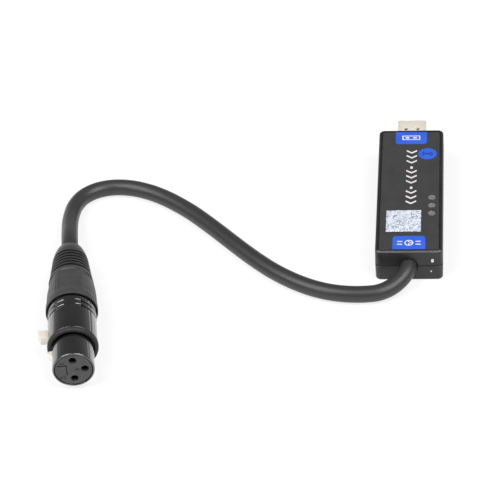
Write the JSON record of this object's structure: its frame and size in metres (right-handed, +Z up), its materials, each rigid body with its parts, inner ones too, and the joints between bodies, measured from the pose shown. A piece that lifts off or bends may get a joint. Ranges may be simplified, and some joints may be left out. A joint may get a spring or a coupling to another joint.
{
  "type": "usb dmx interface",
  "caption": "Lighting control interface: a slim plastic case with a usb plug, and a short lead ending in a round female connector with a latch.",
  "frame": {"origin": "on the surface the case lies on, under the middle of the case and plug together", "axes": "+Y along the case out of the usb plug, +Z up through the label, +X to the side where the light windows are"},
  "size_m": [0.1543, 0.1615, 0.0203],
  "materials": {
    "case_plastic": "fine spark-eroded mould texture, satin",
    "label_print": "satin printed film",
    "lens_plastic": "frosted, translucent grey",
    "board_laminate": "green solder mask",
    "led_resin": "clear resin over phosphor",
    "chip_epoxy": "moulded epoxy",
    "can_metal": "drawn, tin plated",
    "plug_steel": "nickel plated, softly bright",
    "white_nylon": "moulded, natural white",
    "contact_gold": "gold flashed",
    "cable_jacket": "soft, satin, extruded",
    "wire_red": "extruded insulation",
    "wire_white": "extruded insulation",
    "wire_black": "extruded insulation",
    "shell_lacquer": "gloss black over die-cast zinc",
    "insert_plastic": "moulded, satin",
    "collar_plastic": "matte",
    "latch_metal": "nickel plated",
    "nut_plastic": "moulded, semi-gloss",
    "boot_rubber": "soft, satin"
  },
  "bodies": {
    "root": {"lower_case": "case_plastic", "upper_case": "case_plastic", "label_film": "label_print", "light_window_1": "lens_plastic", "light_window_2": "lens_plastic", "light_window_3": "lens_plastic", "main_board": "board_laminate", "radio_board": "board_laminate", "status_led_1": "led_resin", "status_led_2": "led_resin", "status_led_3": "led_resin", "interface_chip": "chip_epoxy", "line_driver_chip": "chip_epoxy", "voltage_regulator": "chip_epoxy", "radio_shield": "can_metal", "crystal_can": "can_metal", "capacitor_1": "can_metal", "capacitor_2": "can_metal", "usb_plug_shell": "plug_steel", "usb_plug_tongue": "white_nylon", "usb_contact_1": "contact_gold", "usb_contact_2": "contact_gold", "usb_contact_3": "contact_gold", "usb_contact_4": "contact_gold", "lead_jacket_end": "cable_jacket", "cable_tie": "white_nylon", "board_wire_1": "wire_red", "board_wire_2": "wire_white", "board_wire_3": "wire_black", "xlr_shell": "shell_lacquer", "xlr_insert": "insert_plastic", "xlr_contact_1": "contact_gold", "xlr_contact_2": "contact_gold", "xlr_contact_3": "contact_gold", "plug_wire_1": "wire_red", "plug_wire_2": "wire_black", "plug_wire_3": "wire_white", "collar_ring": "collar_plastic", "latch_pin": "latch_metal", "latch_spring": "latch_metal", "cable_chuck": "white_nylon", "bushing_nut": "nut_plastic", "boot_sleeve": "boot_rubber", "plug_jacket_end": "cable_jacket", "dmx_cable": "cable_jacket"},
    "latch": {"xlr_latch": "latch_metal"}
  },
  "joints": [
    {"name": "latch_press", "type": "hinge", "parent": "root", "child": "latch", "pos_m": [-0.13547, -0.08972, 0.01015], "axis": [0, 0, 1], "range_deg": [0, 6], "stiffness_Nm_per_rad": 0.05, "springref_deg": -2.86}
  ]
}
